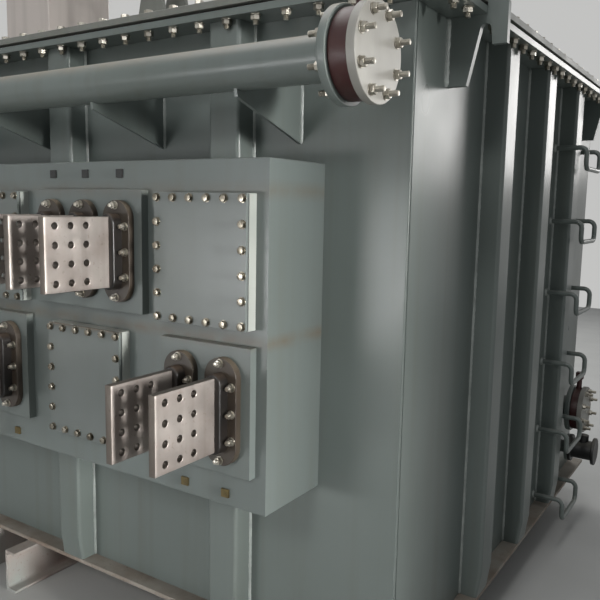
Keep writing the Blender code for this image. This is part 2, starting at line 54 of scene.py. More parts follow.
ways = {
    "down": ((1, 0, 0), (0, -1, 0), (0, 0, -1)),
    "front": ((1, 0, 0), (0, 0, 1), (0, -1, 0)),
    "right": ((0, 1, 0), (0, 0, 1), (1, 0, 0)),
    "left": ((0, -1, 0), (0, 0, 1), (-1, 0, 0)),
}


# Turns local X, Y, Z to a way and moves the shape: point = x * wayX + y * wayY + z * wayZ + place.
def turned(shape, way, place=(0, 0, 0)):
    points, quads, tris = shape
    return points @ np.array(ways[way], float) + np.array(place, float), quads, tris


# point = point + place.
def moved(shape, place):
    return shape[0] + np.array(place, float), shape[1], shape[2]


# Several shapes as one: each shape's face numbers grow by the points before it.
def joined(shapes):
    shapes = list(shapes)
    counts = np.cumsum([0] + [len(s[0]) for s in shapes[:-1]])
    points = np.concatenate([s[0] for s in shapes])
    quads = np.concatenate([s[1] + n for s, n in zip(shapes, counts)])
    tris = np.concatenate([s[2] + n for s, n in zip(shapes, counts)])
    return points, quads, tris


# The same shape at many places, each turned about its own Z: point = turn(angle) * point + place.
def copies(shape, places, angles=None):
    places = np.atleast_2d(np.array(places, float))
    n, m = len(places), len(shape[0])
    angles = np.zeros(n) if angles is None else np.asarray(angles, float)
    c, s, o, l = np.cos(angles), np.sin(angles), np.zeros(n), np.ones(n)
    spin = np.stack([c, s, o, -s, c, o, o, o, l], axis=1).reshape(n, 3, 3)
    points = np.einsum("mi,nij->nmj", shape[0], spin) + places[:, None]
    step = (np.arange(n) * m)[:, None, None]
    quads, tris = ((faces[None] + step).reshape(-1, faces.shape[1]) for faces in shape[1:])
    return points.reshape(-1, 3), quads, tris


# Points that meet are made one, and faces that fell together are dropped.
def closeSeams(shape):
    points, quads, tris = shape
    points, index = np.unique(np.round(points, 6), axis=0, return_inverse=True)
    index = index.reshape(-1)
    quads, tris = index[quads], index[tris]
    same = [np.sort(f, axis=1) for f in (quads, tris)]
    full = [(np.diff(f, axis=1) > 0).all(axis=1) for f in same]
    return points, quads[full[0]], tris[full[1]]


# Six times the signed volume is the sum of a . (b x c). Below zero the shape is turned inside out.
def facingOut(shape):
    points, quads, tris = shape
    allTris = np.concatenate([tris, quads[:, [0, 1, 2]], quads[:, [0, 2, 3]]])
    p = points - points.mean(axis=0)
    a, b, c = p[allTris[:, 0]], p[allTris[:, 1]], p[allTris[:, 2]]
    if np.einsum("ij,ij->i", a, np.cross(b, c)).sum() < 0:
        quads, tris = quads[:, ::-1], tris[:, ::-1]
    return points, quads, tris


# Quads between neighbouring closed rings: (r, c), (r, c + 1), (r + 1, c + 1), (r + 1, c).
def ringQuads(rings, columns, loop=False):
    index = np.arange(rings * columns).reshape(rings, columns)
    if loop:
        index = np.concatenate([index, index[:1]])
    after = np.roll(index, -1, axis=1)
    return np.stack([index[:-1], after[:-1], after[1:], index[1:]], axis=2).reshape(-1, 4)


noTris = np.zeros((0, 3), int)


# A closed surface from rings of points, grid[ring, column]. Each ring closes on itself.
# The ends are closed by a fan to their middle, or the last ring meets the first.
def closedGrid(grid, loop=False):
    rings, columns = grid.shape[:2]
    quads = ringQuads(rings, columns, loop)
    if loop:
        return facingOut((grid.reshape(-1, 3), quads, noTris))
    ends = np.stack([grid[0].mean(axis=0), grid[-1].mean(axis=0)])
    here = np.arange(columns)
    after = np.roll(here, -1)
    count, lastRing = rings * columns, (rings - 1) * columns
    tris = np.concatenate([
        np.stack([after, here, np.full(columns, count)], axis=1),
        np.stack([here + lastRing, after + lastRing, np.full(columns, count + 1)], axis=1),
    ])
    return facingOut((np.concatenate([grid.reshape(-1, 3), ends]), quads, tris))


# Points of the unit circle: (cos t, sin t).
def onCircle(t):
    return np.stack([np.cos(t), np.sin(t)], axis=1)


# Numbers a pitch apart about zero: (i - (count - 1) / 2) * pitch.
def spreadBy(count, pitch):
    return (np.arange(count) - (count - 1) / 2) * pitch


# Rounded rectangle: point = sign * (half - corner) + corner * normal, the normal turning a quarter at each
# corner. With no corner radius the four points carry a mitred normal instead.
def roundOutline(half, corner=0.0, steps=4):
    half = np.asarray(half, float)
    if corner <= 0:
        sign = np.array([(1, 1), (-1, 1), (-1, -1), (1, -1)], float)
        return sign * half, sign
    quarter = np.repeat(np.arange(4), steps + 1)
    turn = (quarter + np.tile(np.linspace(0, 1, steps + 1), 4)) * math.pi / 2
    normal = onCircle(turn)
    sign = np.stack([np.where((quarter == 0) | (quarter == 3), 1, -1), np.where(quarter < 2, 1, -1)], axis=1)
    return sign * (half - corner) + corner * normal, normal


# Circle about zero: point = 0 + out * (cos t, sin t), so the profile's first number is the radius.
def circleOutline(steps):
    t = np.arange(steps) * 2 * math.pi / steps
    return np.zeros((steps, 2)), onCircle(t)


# Hexagon about zero: the radius is out / cos(angle from the nearest flat), out is half the width over flats.
def hexOutline(perSide=4):
    t = np.arange(6 * perSide) * 2 * math.pi / (6 * perSide)
    away = (t + math.pi / 6) % (math.pi / 3) - math.pi / 6
    return np.zeros((len(t), 2)), onCircle(t) / np.cos(away)[:, None]


# Rings of one outline along Z: point = (line + out * normal, height) for each pair of the profile.
def loft(outline, profile, loop=False):
    line, normal = outline
    profile = np.asarray(profile, float)
    flat = line[None] + profile[:, None, 0:1] * normal[None]
    high = np.broadcast_to(profile[:, None, 1:2], flat.shape[:2] + (1,))
    return closedGrid(np.concatenate([flat, high], axis=2), loop)


# Profile of a plate with rounded edges: quarter circles of the edge radius at the foot and the head.
def plateProfile(low, high, edge, steps=2, footEdge=None):
    foot = edge if footEdge is None else footEdge
    t = np.linspace(0, math.pi / 2, steps + 1)
    bottom = np.stack([foot * (np.sin(t) - 1), low + foot * (1 - np.cos(t))], axis=1)
    top = np.stack([edge * (np.cos(t) - 1), high - edge * (1 - np.sin(t))], axis=1)
    return np.concatenate([bottom, top])


# Ring with a hole: the profile runs up the outside and back down the inside, a width further in.
def frameProfile(low, high, width, edge):
    out = np.array([-edge, 0, 0, -edge, edge - width, -width, -width, edge - width])
    z = np.array([low, low + edge, high - edge, high, high, high - edge, low + edge, low])
    return np.stack([out, z], axis=1)


# A box from low to high with rounded edges: a loft of its outline, whose corners can be rounded too.
def plate(low, high, edge=0.0015, corner=0.0, steps=3):
    low, high = np.array(low, float), np.array(high, float)
    half = (high - low) / 2
    shape = loft(roundOutline(half[:2], corner, steps), plateProfile(-half[2], half[2], edge))
    return moved(shape, (low + high) / 2)


# An outline of (u, v) carried along a path: point = path + u * side + v * up.
def carry(outline, path, side, up):
    path = np.asarray(path, float)
    side = np.broadcast_to(np.asarray(side, float), path.shape)
    up = np.broadcast_to(np.asarray(up, float), path.shape)
    outline = np.asarray(outline, float)
    grid = path[:, None] + outline[None, :, 0:1] * side[:, None] + outline[None, :, 1:2] * up[:, None]
    return closedGrid(grid)


# A straight piece with a hollow outline of (u, v): point = start or end + u * side + v * up. Its two ends are
# cut into triangles, each turned the way the outline runs.
def prism(outline, start, end, side, up):
    outline = np.asarray(outline, float)
    after = np.roll(outline, -1, axis=0)
    area = (outline[:, 0] * after[:, 1] - outline[:, 1] * after[:, 0]).sum()
    cut = np.array(tessellate_polygon([[Vector((u, v, 0)) for u, v in outline]]))
    a, b, c = (outline[cut[:, k]] for k in range(3))
    turn = (b - a)[:, 0] * (c - a)[:, 1] - (b - a)[:, 1] * (c - a)[:, 0]
    cut = np.where((turn * area < 0)[:, None], cut[:, ::-1], cut)
    flat = outline[:, 0:1] * np.array(side, float) + outline[:, 1:2] * np.array(up, float)
    points = np.concatenate([flat + np.array(start, float), flat + np.array(end, float)])
    n = len(outline)
    return facingOut((points, ringQuads(2, n), np.concatenate([cut[:, ::-1], cut + n])))


# Corners of a path replaced by arcs: point = centre + bend * (cos a * from + sin a * to) in their plane.
def bentPath(corners, bend, steps=5):
    p = np.asarray(corners, float)
    run = (p[1:] - p[:-1]) / np.linalg.norm(p[1:] - p[:-1], axis=1)[:, None]
    into, away = run[:-1], run[1:]
    a = np.linspace(0, math.pi / 2, steps + 1)[None, :, None]
    centre = p[1:-1] + bend * (away - into)
    arcs = centre[:, None] - bend * np.cos(a) * away[:, None] + bend * np.sin(a) * into[:, None]
    return np.concatenate([p[:1], arcs.reshape(-1, 3), p[-1:]])


# A round bar along a path: its circle stands square to the path's run at each point.
def bar(path, radius, columns=12):
    path = np.asarray(path, float)
    run = np.gradient(path, axis=0)
    run /= np.linalg.norm(run, axis=1)[:, None]
    side = np.cross(run, np.array([0.577, -0.577, 0.577]))
    side /= np.linalg.norm(side, axis=1)[:, None]
    t = np.arange(columns) * 2 * math.pi / columns
    return carry(radius * onCircle(t), path, side, np.cross(run, side))


waves = ((0.5, 571, 2.1), (0.3, 173, 5.3), (0.2, 59, 9.7))   # share, waves to a metre, shift by the seed


# Wander along a length, between about -1 and 1: the sum of share * sin(s * wave + seed * shift).
def wander(s, seed):
    return sum(share * np.sin(s * wave + seed * shift) for share, wave, shift in waves)


# Weld bead in a corner: point = root + r * (cos a * one + sin a * other), r wandering along the run.
def bead(start, end, one, other, size, pitch=0.007):
    start, end, one, other = (np.array(v, float) for v in (start, end, one, other))
    length = np.linalg.norm(end - start)
    s = np.linspace(0, 1, max(3, int(length / pitch)))
    r = size * (1 + 0.16 * wander(s * length, start.sum()))
    r[[0, -1]] *= 0.5
    a = np.linspace(0, math.pi / 2, 5)
    fan = np.cos(a)[:, None] * one + np.sin(a)[:, None] * other
    hollow = (0.86 + 0.14 * np.abs(np.cos(2 * a)))[None, :, None]   # the bead's face sinks a little midway
    path = start + s[:, None] * (end - start)
    grid = path[:, None] + r[:, None, None] * fan[None] * hollow
    root = (path - 0.0008 * (one + other))[:, None]
    return closedGrid(np.concatenate([root, grid], axis=1))


# Hexagon with a crown: its top ring drops by tan 30 of how far each point lies outside the inner circle.
def hexBlock(flats, low, high, bothEnds=False):
    line, normal = hexOutline()
    reach = np.linalg.norm(normal, axis=1) * flats / 2
    inner = 0.94 * flats / 2
    drop = (reach - inner) * math.tan(math.radians(30))
    unit = normal / np.linalg.norm(normal, axis=1)[:, None]
    flat = [unit * inner, normal * flats / 2, normal * flats / 2, unit * inner]
    down = drop if bothEnds else np.full(len(drop), 0.0006)
    z = [np.full(len(drop), low), low + down, high - drop, np.full(len(drop), high)]
    grid = np.stack([np.concatenate([f, h[:, None]], axis=1) for f, h in zip(flat, z)])
    return closedGrid(grid)


# A flat round piece: the circle carried up a plate's profile, moved out by the radius.
def disc(radius, low, high, edge=0.0006, columns=20):
    return loft(circleOutline(columns), plateProfile(low, high, edge, 1) + np.array([radius, 0.0]))


# Bolt head on a washer, standing on Z = 0.
def boltHead(size):
    flats, washer = 1.5 * size, 0.18 * size
    return joined([disc(size, 0, washer, 0.0005), hexBlock(flats, washer, washer + 0.62 * size)])


# Nut on a washer with the end of its stud: the thread's ridges are a wave of the radius along the stud.
def studNut(size, stick):
    flats, washer, high = 1.5 * size, 0.18 * size, 0.8 * size
    turns = int(stick / (0.08 * size))
    z = washer + high + np.linspace(-0.0008, stick, 2 * turns + 2)
    r = size / 2 * np.where(np.arange(len(z)) % 2, 1.0, 0.93)
    r[-1] = 0.36 * size
    r[-2] = size / 2
    stud = loft(circleOutline(14), np.stack([r, z], axis=1))
    return joined([disc(size, 0, washer, 0.0005), hexBlock(flats, washer, washer + high, True), stud])


# One node of a material. The settings are its own options, the inputs its sockets: a value or a link.
def addNode(tree, kind, settings=None, **inputs):
    made = tree.nodes.new("ShaderNode" + kind)
    for key, value in (settings or {}).items():
        setattr(made, key, value)
    for key, value in inputs.items():
        key = int(key[1:]) if key[0] == "i" and key[1:].isdigit() else key.replace("_", " ")
        if isinstance(value, bpy.types.NodeSocket):
            tree.links.new(value, made.inputs[key])
        else:
            made.inputs[key].default_value = value
    return made


# Noise at a place stretched by three factors, read as a number.
def noiseOf(tree, place, scale, detail, rough, stretch=(1, 1, 1)):
    stretched = addNode(tree, "VectorMath", {"operation": "MULTIPLY"}, i0=place, i1=stretch)
    made = {"Vector": stretched.outputs[0], "Scale": scale, "Detail": detail, "Roughness": rough}
    return addNode(tree, "TexNoise", None, **made).outputs[0]


# A number carried from one range to another and kept inside it.
def ranged(tree, value, fromLow, fromHigh, toLow, toHigh):
    return addNode(tree, "MapRange", None, i0=value, i1=fromLow, i2=fromHigh, i3=toLow, i4=toHigh).outputs[0]


# Two tones mixed: first * (1 - share) + second * share.
def mixed(tree, share, first, second):
    return addNode(tree, "Mix", {"data_type": "RGBA"}, i0=share, i6=first, i7=second).outputs[2]


# One step of sums: what the operation's name says of the first and the second.
def reckoned(tree, operation, first, second=0.0):
    return addNode(tree, "Math", {"operation": operation}, i0=first, i1=second).outputs[0]


# sRGB numbers from 0 to 255 as the linear colour a shader takes.
def colour(r, g, b):
    c = np.array([r, g, b]) / 255.0
    c = np.where(c <= 0.04045, c / 12.92, ((c + 0.055) / 1.055) ** 2.4)
    return (float(c[0]), float(c[1]), float(c[2]), 1.0)


# Each look gives only what differs from this one. Stains are (height, reach, amount) of brown bands.
plainLook = {
    "base": (111, 119, 116), "other": (103, 111, 107), "patch": 2.2,   # two tones in slow patches
    "streak": 0.25, "streakTone": (92, 92, 82),   # runs down upright faces
    "dust": 0.35, "dustTone": (150, 146, 136),    # settles on faces that look up
    "speck": 0.0, "speckTone": (60, 48, 36), "speckScale": 90.0,
    "rough": (0.27, 0.35), "roughScale": 6.0,
    "peel": 0.12, "peelScale": 420.0,             # fine relief of the coat
    "wave": 0.05, "waveScale": 5.0,               # slow unevenness of the sheet
    "metallic": 0.0,
    "sawn": 0.0, "sawnTone": (70, 63, 55),        # the edges of a plate across the box and the bores of its holes, darker as cut metal and as painted shade
    "stains": (), "stainTone": (96, 78, 56),
}


# A finish from its look: each layer is mixed over the tone below it, by a share of 0 to 1 that comes from
# noise, height or the way the surface faces.
def makeFinish(name, **look):
    look = {**plainLook, **look}
    material = bpy.data.materials.new(name)
    material.use_nodes = True
    tree = material.node_tree
    shader = tree.nodes["Principled BSDF"]
    place = addNode(tree, "TexCoord").outputs["Object"]
    normal = addNode(tree, "SeparateXYZ", None, i0=addNode(tree, "NewGeometry").outputs["Normal"])
    facing = normal.outputs[2]

    patches = noiseOf(tree, place, look["patch"], 3.0, 0.45)
    share = ranged(tree, patches, 0.3, 0.7, 0.0, 1.0)
    tone = mixed(tree, share, colour(*look["base"]), colour(*look["other"]))
    if look["streak"] > 0:
        runs = noiseOf(tree, place, 1.0, 2.0, 0.5, (26, 26, 0.8))
        share = ranged(tree, runs, 0.50, 0.80, 0.0, look["streak"])
        tone = mixed(tree, share, tone, colour(*look["streakTone"]))
    if look["speck"] > 0:
        specks = noiseOf(tree, place, look["speckScale"], 3.0, 0.6)
        share = ranged(tree, specks, 0.62, 0.70, 0.0, look["speck"])
        tone = mixed(tree, share, tone, colour(*look["speckTone"]))
    grime = noiseOf(tree, place, 14.0, 8.0, 0.65)
    height = addNode(tree, "SeparateXYZ", None, i0=place).outputs[2]
    for level, reach, amount in look["stains"]:   # a stain is strongest at its level and fades over its reach
        off = reckoned(tree, "ABSOLUTE", reckoned(tree, "SUBTRACT", height, level))
        share = ranged(tree, off, 0.0, reach, amount, 0.0)
        share = reckoned(tree, "MULTIPLY", share, ranged(tree, grime, 0.35, 0.65, 0.2, 1.0))
        tone = mixed(tree, share, tone, colour(*look["stainTone"]))
    # Faces turned across X, a plate's edges and its hole bores, take a darker tone: partly the cut metal,
    # partly painted shade.
    if look["sawn"] > 0:
        across = reckoned(tree, "ABSOLUTE", normal.outputs[0])
        share = ranged(tree, across, 0.2, 0.7, look["sawn"], 0.0)
        tone = mixed(tree, share, tone, colour(*look["sawnTone"]))
    if look["dust"] > 0:
        up = ranged(tree, facing, 0.35, 0.95, 0.0, look["dust"])
        share = reckoned(tree, "MULTIPLY", up, ranged(tree, grime, 0.3, 0.65, 0.35, 1.0))
        tone = mixed(tree, share, tone, colour(*look["dustTone"]))
    tree.links.new(tone, shader.inputs["Base Color"])

    uneven = noiseOf(tree, place, look["roughScale"], 2.0, 0.4)
    roughness = ranged(tree, uneven, 0.2, 0.8, *look["rough"])
    if look["dust"] > 0:
        roughness = reckoned(tree, "ADD", roughness, reckoned(tree, "MULTIPLY", up, 0.3))
    tree.links.new(roughness, shader.inputs["Roughness"])
    shader.inputs["Metallic"].default_value = look["metallic"]

    fine = noiseOf(tree, place, look["peelScale"], 2.0, 0.5)
    slow = noiseOf(tree, place, look["waveScale"], 2.0, 0.5)
    lowRelief = addNode(tree, "Bump", None, Strength=look["wave"], Distance=0.01, Height=slow)
    relief = addNode(
        tree, "Bump", None, Strength=look["peel"], Distance=0.0006, Height=fine, Normal=lowRelief.outputs[0])
    tree.links.new(relief.outputs[0], shader.inputs["Normal"])
    return material


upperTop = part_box("bushing_plate_upper_1")[1].z
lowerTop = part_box("bushing_plate_lower_1")[1].z
zincGrain = {
    "patch": 30.0, "streak": 0.0, "roughScale": 60.0, "metallic": 1.0, "peel": 0.25, "wave": 0.0,
    "speckScale": 120.0,
}
finishes = {
    "tank": makeFinish("Tank paint"),
    "box": makeFinish(
        "Terminal box paint", base=(106, 114, 112), other=(98, 105, 102), streak=0.2,
        stains=((upperTop, 0.03, 0.35), (lowerTop + 0.01, 0.025, 0.6))),
    "hatch": makeFinish(
        "Hatch paint", base=(110, 116, 114), other=(101, 107, 104), streak=0.1, patch=4.0,
        stains=((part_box("hatch_lower_1")[1].z, 0.012, 0.8),)),
    "pipe": makeFinish("Pipe paint", dust=0.85, dustTone=(124, 113, 94)),
    # The pad paint is a paler copy of the box paint, standing for the brightly lit side faces of the pads:
    # painted light.
    "pad": makeFinish("Pad paint lightened as painted light", base=(168, 171, 165), other=(150, 154, 149), streak=0.1, patch=6.0),
    "cover": makeFinish(
        "Cover paint", base=(128, 130, 124), other=(112, 114, 108), dust=0.8, rough=(0.4, 0.6)),
    "brown": makeFinish(
        "Primed plate", base=(112, 94, 80), other=(148, 141, 132), patch=7.0, dust=0.5, rough=(0.5, 0.8),
        speck=0.5, peel=0.4, peelScale=160.0),
    "channel": makeFinish(
        "Channel paint", base=(156, 161, 157), other=(160, 142, 134), patch=5.0, speck=0.4,
        speckTone=(110, 84, 72), rough=(0.35, 0.6), peel=0.3, peelScale=180.0),
    # The weld paint is paler than the tank paint to stand for the beads' glossy glints: painted highlight.
    "weld": makeFinish(
        "Weld paint lightened as painted highlight", base=(164, 170, 166), other=(136, 142, 138), patch=20.0, rough=(0.2, 0.4), peel=0.5,
        peelScale=240.0, wave=0.0),
    "rubber": makeFinish(
        "Gasket", base=(22, 22, 21), other=(34, 33, 31), streak=0.0, dust=0.2, rough=(0.6, 0.85), peel=0.3,
        wave=0.1),
    "zinc": makeFinish(
        "Zinc plate", base=(196, 192, 182), other=(150, 145, 134), dust=0.15, rough=(0.22, 0.42), speck=0.5,
        **zincGrain),
    "oldZinc": makeFinish(
        "Dulled zinc plate", base=(158, 153, 141), other=(84, 78, 66), dust=0.1, rough=(0.2, 0.4), speck=0.6,
        **zincGrain),
    # The tinned flags carry painted shade on their edges and in their bores.
    "tinned": makeFinish(
        "Tinned copper", base=(176, 168, 162), other=(144, 135, 129), patch=11.0, streak=0.4,
        streakTone=(112, 100, 93), dust=0.1, rough=(0.32, 0.55), roughScale=22.0, metallic=0.7, peel=0.2,
        sawn=0.8, peelScale=300.0, speck=0.35, speckTone=(112, 98, 88), speckScale=70.0),
    "resin": makeFinish(
        "Cast resin", base=(14, 13, 12), other=(26, 21, 18), patch=12.0, streak=0.2, streakTone=(40, 30, 24),
        dust=0.4, dustTone=(92, 76, 62), rough=(0.3, 0.5), peel=0.15, wave=0.1),
    "flangeBrown": makeFinish(
        "Bushing flange", base=(44, 36, 29), other=(60, 51, 41), patch=10.0, streak=0.3, dust=0.5,
        dustTone=(130, 118, 100), rough=(0.35, 0.6), peel=0.25, peelScale=260.0),
    "maroon": makeFinish(
        "Valve paint", base=(66, 22, 21), other=(46, 17, 17), patch=9.0, dust=0.12, rough=(0.3, 0.5),
        peel=0.4, peelScale=220.0, wave=0.1),
    "paleGrey": makeFinish(
        "Flange paint", base=(150, 148, 142), other=(138, 136, 130), patch=12.0, streak=0.15, dust=0.3,
        rough=(0.3, 0.5), wave=0.1),
    "black": makeFinish(
        "Cast iron", base=(14, 16, 16), other=(26, 27, 27), patch=14.0, dust=0.4, rough=(0.35, 0.6), peel=0.6,
        peelScale=240.0, wave=0.1),
    "panel": makeFinish(
        "Cover box paint", base=(208, 199, 193), other=(197, 188, 182), streak=0.2, dust=0.4,
        rough=(0.35, 0.5)),
    "brass": makeFinish(
        "Brass", base=(112, 98, 62), other=(84, 73, 48), patch=40.0, dust=0.2, rough=(0.35, 0.55),
        metallic=0.8, wave=0.0),
}
print("finishes made")


sharpAngle = math.radians(50)                     # plain corners stay sharp, rounded edges smooth


# One object from shapes given about the tank's middle: its mesh, finish and place in the model.
def makePiece(name, shapes, finish="tank", stands=()):
    points, quads, tris = joined(shapes) if isinstance(shapes, list) else shapes
    name = name.replace(" ", "_")
    mesh = bpy.data.meshes.new(name)
    mesh.from_pydata(points + middle, [], [*quads.tolist(), *tris.tolist()])
    mesh.shade_smooth()
    mesh.validate()
    mesh.set_sharp_from_angle(angle=sharpAngle)
    mesh.materials.append(finishes[finish])
    made = bpy.data.objects.new(name, mesh)
    bpy.context.scene.collection.objects.link(made)
    weighted = made.modifiers.new("Even shading", "WEIGHTED_NORMAL")
    weighted.weight = 80
    weighted.keep_sharp = True
    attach(made, "root")
    if stands:
        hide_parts(*([stands] if isinstance(stands, str) else stands))
    return made


# A CAD box about the tank's middle, as two arrays.
def boxOf(node):
    low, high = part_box(node)
    return np.array(low) - middle, np.array(high) - middle


endSides = (("right", 1), ("left", -1))
boxRows = (("upper", 3), ("lower", 2))            # the bushings to a plate in each row
bays = (1, 2, 3)


# The tank
rimLow, rimHigh = boxOf("rim_flange")
tank = {
    "half": np.array([1.64, 1.055]), "sheet": 0.010, "corner": 0.0046, "foot": 0.1753,
    "top": float(rimLow[2]), "gap": 0.0003, "edge": 0.001,
}
base = {"plateLow": 0.160, "plateHigh": 0.175, "overhang": 0.06, "edge": 0.0015}

halfX, halfY = tank["half"]
reach = np.array([halfX, halfY]) + base["overhang"]
makePiece("Base plate", plate(
    (-reach[0], -reach[1], base["plateLow"]), (reach[0], reach[1], base["plateHigh"]), base["edge"]),
    "brown", stands="tank_base")

channel = {
    "height": 0.160, "width": 0.056, "web": 0.009, "flange": 0.010, "root": 0.010, "toe": 0.004,
    "gap": 0.190, "pitch": 1.05, "pairs": 3, "reach": 1.215,
}


# The channel's section: straight runs with a quarter circle at each root and toe.
def channelSection(c):
    t = np.linspace(0, math.pi / 2, 5)
    h, w, web, f, r, toe = (c[k] for k in ("height", "width", "web", "flange", "root", "toe"))
    lowToe = np.stack([w - toe + toe * np.sin(t), f - toe + toe * np.cos(t)], axis=1)[::-1]
    lowRoot = np.stack([web + r - r * np.sin(t), f + r - r * np.cos(t)], axis=1)
    highRoot = np.stack([web + r - r * np.cos(t), h - f - r + r * np.sin(t)], axis=1)
    highToe = np.stack([w - toe + toe * np.sin(t), h - f + toe - toe * np.cos(t)], axis=1)
    heel = np.array([(0.001, 0), (w - 0.001, 0), (w, 0.001)])
    head = np.array([(w, h - 0.001), (w - 0.001, h), (0.001, h), (0, h - 0.001), (0, 0.001)])
    return np.concatenate([heel, lowToe, lowRoot, highRoot, highToe, head])


channels = []
section = channelSection(channel)
for pair in range(channel["pairs"]):
    for side in (-1, 1):
        web = (pair - 1) * channel["pitch"] + side * channel["gap"] / 2
        ends = (web, -channel["reach"], 0), (web, channel["reach"], 0)
        channels.append(prism(section, *ends, (side, 0, 0), (0, 0, 1)))
makePiece("Base channels", channels, "channel")

# Wall sheets. The long walls run the whole length, the end walls stand between them.
wallBottom, wallTop = tank["foot"], tank["top"] - tank["gap"]
for name, side in (("front", -1), ("back", 1)):
    y0, y1 = side * halfY, side * (halfY - tank["sheet"])
    centre, half = (y0 + y1) / 2, np.array([halfX, tank["sheet"] / 2])
    line = roundOutline(half, tank["corner"], 3)
    sheet = moved(loft(line, plateProfile(wallBottom, wallTop, tank["edge"])), (0, centre, 0))
    makePiece("Tank wall " + name, sheet, stands="wall_" + name)
for name, side in endSides:
    x0, x1 = side * halfX, side * (halfX - tank["sheet"])
    inside = halfY - tank["sheet"] - tank["gap"]
    low, high = (min(x0, x1), -inside, wallBottom), (max(x0, x1), inside, wallTop)
    makePiece("Tank wall " + name, plate(low, high, tank["edge"]), stands="wall_end_" + name)

rib = {
    "width": 0.112, "depth": 0.073, "bend": 0.012, "mitre": 0.090, "footDepth": 0.060,
    "frontMargin": 0.5555, "endMargin": 0.582, "weld": 0.006,
}
boxLow, boxHigh = boxOf("terminal_box")


# Places spread evenly between margins from both ends of a length, about its middle.
def spreadAlong(length, margin, count):
    return np.linspace(-(length / 2 - margin), length / 2 - margin, count)


# A box rib: its section has quarter-circle bends, and its depth shrinks over the mitre at the foot.
def ribShape(centre, along, outward, bottom, top, mitred):
    a = np.linspace(0, math.pi / 2, 5)
    half, depth, bend = rib["width"] / 2, rib["depth"], rib["bend"]
    across = np.append(half, half - bend + bend * np.cos(a))
    out = np.append(0.0, depth - bend + bend * np.sin(a))
    across, out = np.concatenate([across, -across[::-1]]), np.concatenate([out, out[::-1]])
    levels = [(bottom, depth), (top, depth)]
    if mitred:
        levels = [(bottom, rib["footDepth"]), (bottom + rib["mitre"], depth), (top, depth)]
    z = np.array([level[0] for level in levels])
    shrink = np.array([level[1] for level in levels]) - depth
    grid = np.zeros((len(levels), len(across), 3))
    outs = np.where(out > 0, out, -0.001)[None] + np.where(out > 0, 1, 0)[None] * shrink[:, None]
    grid += (centre + across)[None, :, None] * np.array(along, float)
    grid += outs[:, :, None] * np.array(outward, float)
    grid[:, :, 2] = z[:, None]
    return closedGrid(grid)


# The ribs of one wall and a weld down both sides of each. Each span of a rib is (bottom, top, mitred).
def makeRibs(name, places, along, outward, face, spans):
    along, outward, face = (np.array(v, float) for v in (along, outward, face))
    shapes, welds = [], []
    for place in places:
        for bottom, top, mitred in spans:
            shapes.append(moved(ribShape(place, along, outward, bottom, top, mitred), face))
            for side in (-1, 1):
                foot = along * (place + side * rib["width"] / 2) + face
                ends = foot + (0, 0, bottom), foot + (0, 0, top)
                welds.append(bead(*ends, along * side, outward, rib["weld"]))
    makePiece(name % "s", shapes)
    makePiece(name % " welds", welds, "weld")


frontRibs = spreadAlong(2 * halfX, rib["frontMargin"], 4)
endRibs = spreadAlong(2 * halfY, rib["endMargin"], 3)
whole = ((wallBottom, wallTop, True),)
parted = ((boxHigh[2], wallTop, False), (wallBottom, boxLow[2], True))      # above and below the terminal box
makeRibs("Front rib%s", frontRibs, (1, 0, 0), (0, -1, 0), (0, -halfY, 0), parted)
makeRibs("Back rib%s", frontRibs, (1, 0, 0), (0, 1, 0), (0, halfY, 0), whole)
for name, side in endSides:
    makeRibs("End rib%s " + name, endRibs, (0, 1, 0), (side, 0, 0), (side * halfX, 0, 0), whole)
print("tank made")

# Rim, gasket and cover
gasketLow, gasketHigh = boxOf("cover_gasket")
coverLow = boxOf("tank_cover")[0]
rimHalf = (rimHigh - rimLow)[:2] / 2
rim = {"width": 0.138, "edge": 0.0015, "coverThickness": 0.020, "gasketWidth": 0.050, "gasketEdge": 0.0008}
coverTop = float(coverLow[2]) + rim["coverThickness"]
profile = frameProfile(rimLow[2], rimHigh[2], rim["width"], rim["edge"])
makePiece("Rim flange", loft(roundOutline(rimHalf), profile, True), stands="rim_flange")
gasketHalf = (gasketHigh - gasketLow)[:2] / 2
profile = frameProfile(gasketLow[2], gasketHigh[2], rim["gasketWidth"], rim["gasketEdge"])
makePiece("Cover gasket", loft(roundOutline(gasketHalf), profile, True),
          "rubber", "cover_gasket")
makePiece("Cover", plate((*-rimHalf, coverLow[2]), (*rimHalf, coverTop), rim["edge"]),
          "cover", "tank_cover")

rimBolt = {
    "size": 0.016, "edge": 0.023, "pitchX": 0.1005, "countX": 35, "pitchY": 0.098, "countY": 22,
    "hookPlace": 0.839, "hookClear": 0.030, "stick": 0.012,
}


# Places of the rim's bolts, in rows along its four sides. None stands in a hook's way.
def rimBoltPlaces():
    x = spreadBy(rimBolt["countX"], rimBolt["pitchX"])
    y = spreadBy(rimBolt["countY"], rimBolt["pitchY"])
    y = y[np.abs(np.abs(y) - rimBolt["hookPlace"]) > rimBolt["hookClear"]]
    rows = []
    for side in (-1, 1):
        rows.append(np.stack([x, np.full(len(x), side * (rimHalf[1] - rimBolt["edge"]))], axis=1))
        rows.append(np.stack([np.full(len(y), side * (rimHalf[0] - rimBolt["edge"])), y], axis=1))
    return np.concatenate(rows)


goldenTurn = 2.399963


# Turns of a row of bolts: i * golden turn, within the sixth of a turn after which a hexagon repeats.
def boltTurns(count):
    return (np.arange(count) * goldenTurn) % (math.pi / 3)


spots = rimBoltPlaces()
angles = boltTurns(len(spots))
head = copies(boltHead(rimBolt["size"]), np.column_stack([spots, np.full(len(spots), coverTop)]), angles)
nut = turned(studNut(rimBolt["size"], rimBolt["stick"]), "down")
nuts = copies(nut, np.column_stack([spots, np.full(len(spots), rimLow[2])]), angles * 0.7)
makePiece("Rim bolt heads", head, "zinc")
makePiece("Rim nuts", nuts, "zinc")
print("rim made")

